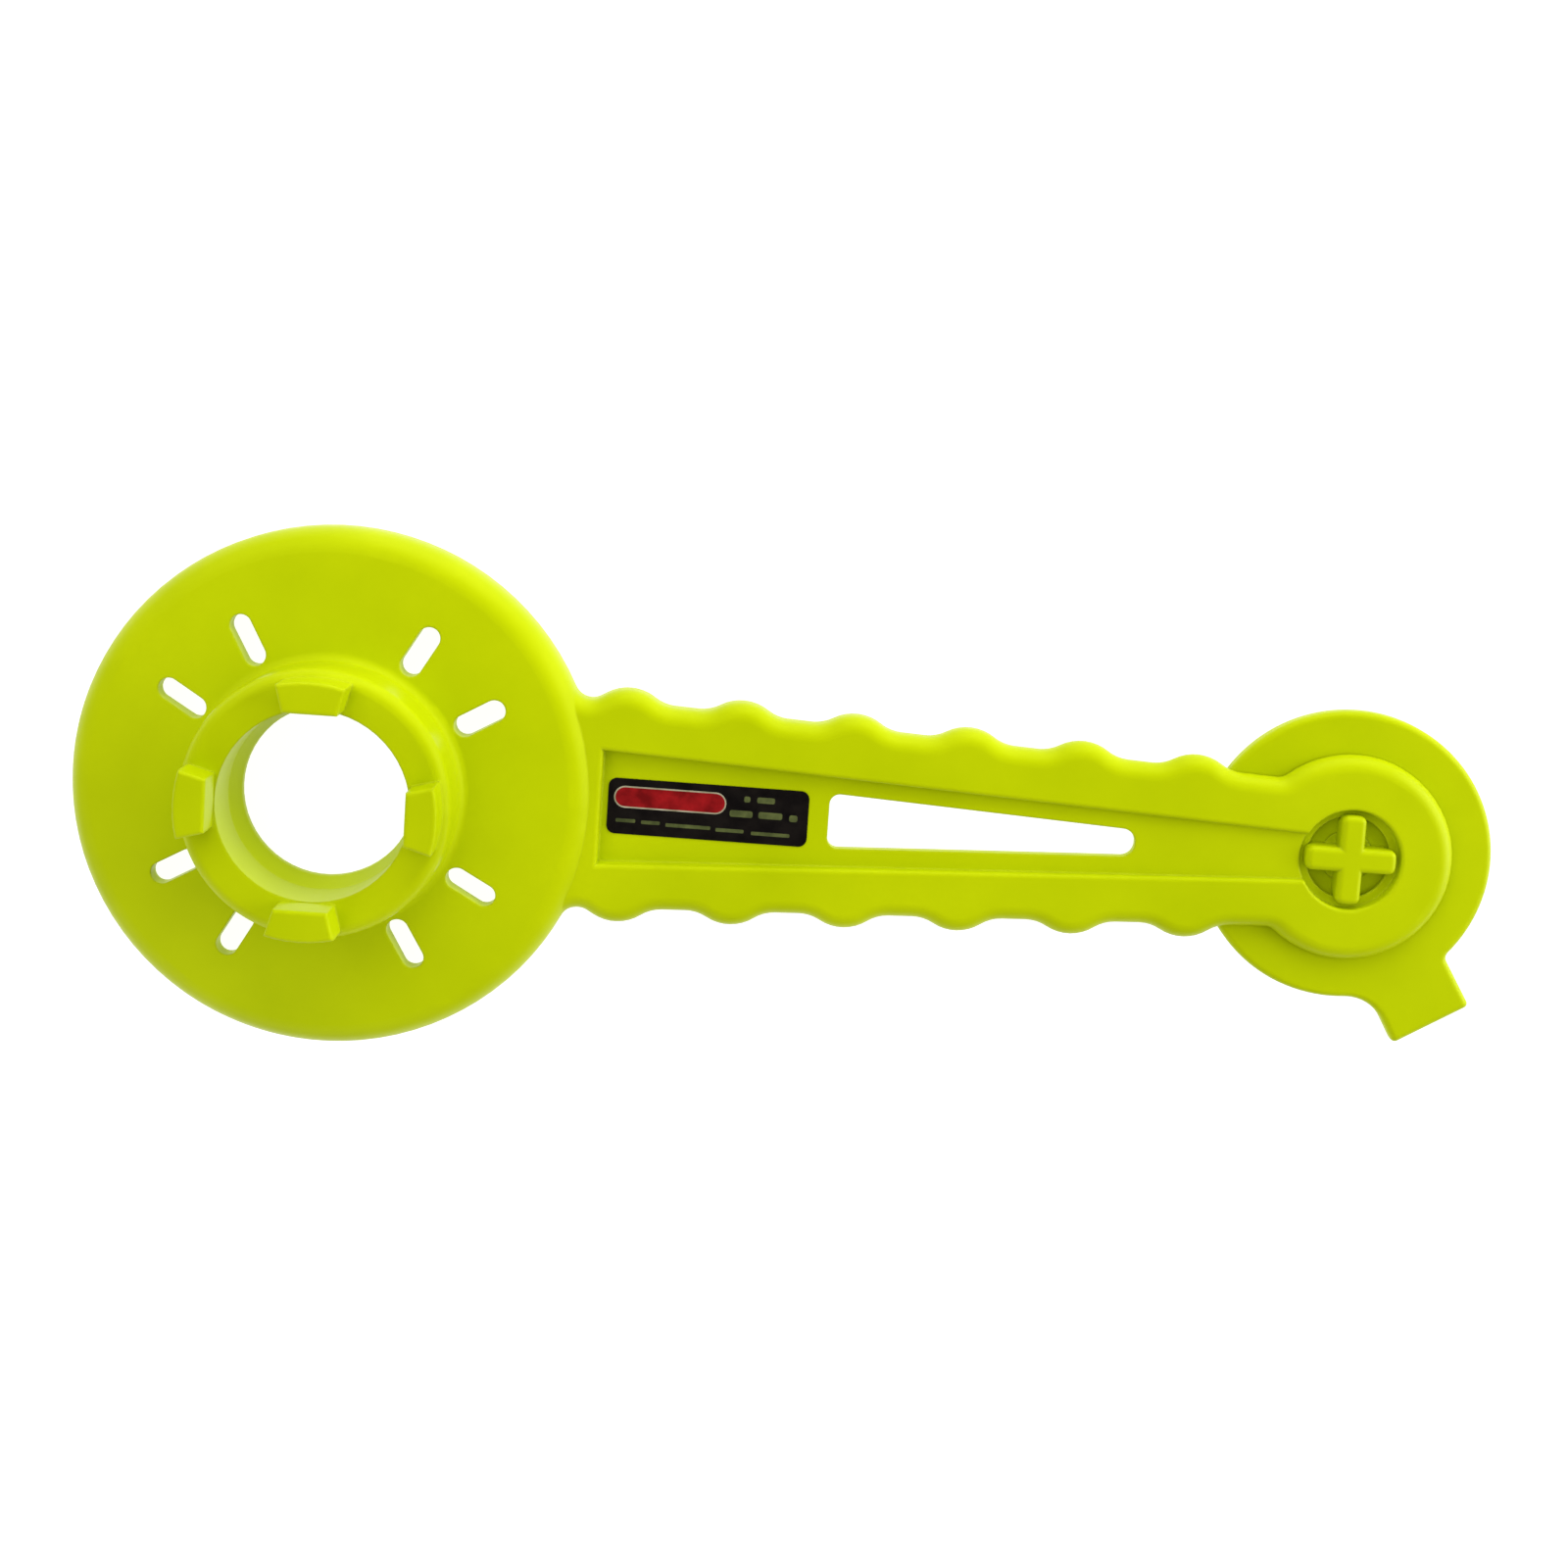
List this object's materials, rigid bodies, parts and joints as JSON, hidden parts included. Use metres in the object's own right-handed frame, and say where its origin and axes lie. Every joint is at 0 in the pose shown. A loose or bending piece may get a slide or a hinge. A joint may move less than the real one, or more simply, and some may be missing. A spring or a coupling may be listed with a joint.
{
  "type": "string winder",
  "caption": "Hand line winder: dished flange with a castellated collar, a scalloped crank handle in one piece with it, and a swivelling tabbed disc under the handle's head.",
  "frame": {"origin": "on the flange's axis, at the lower mouth of the collar's bore", "axes": "+X along the handle from the flange to the swivel, +Z along the collar's axis towards the lugs, +Y completes a right-handed frame"},
  "size_m": [0.2719, 0.1, 0.0256],
  "materials": {
    "body_plastic": "fluorescent yellow-green moulded plastic, satin gloss",
    "label_print": "black printed film label, satin",
    "swivel_plastic": "fluorescent yellow-green moulded plastic, satin gloss",
    "pin_plastic": "fluorescent yellow-green moulded plastic, satin gloss"
  },
  "bodies": {
    "winder": {"winder_body": "body_plastic", "label": "label_print"},
    "swivel": {"swivel_disc": "swivel_plastic", "cross_pin": "pin_plastic"}
  },
  "joints": [
    {"name": "swivel_spin", "type": "hinge", "parent": "winder", "child": "swivel", "pos_m": [0.194, 0, -0.0036], "axis": [0, 0, 1], "continuous": true}
  ]
}
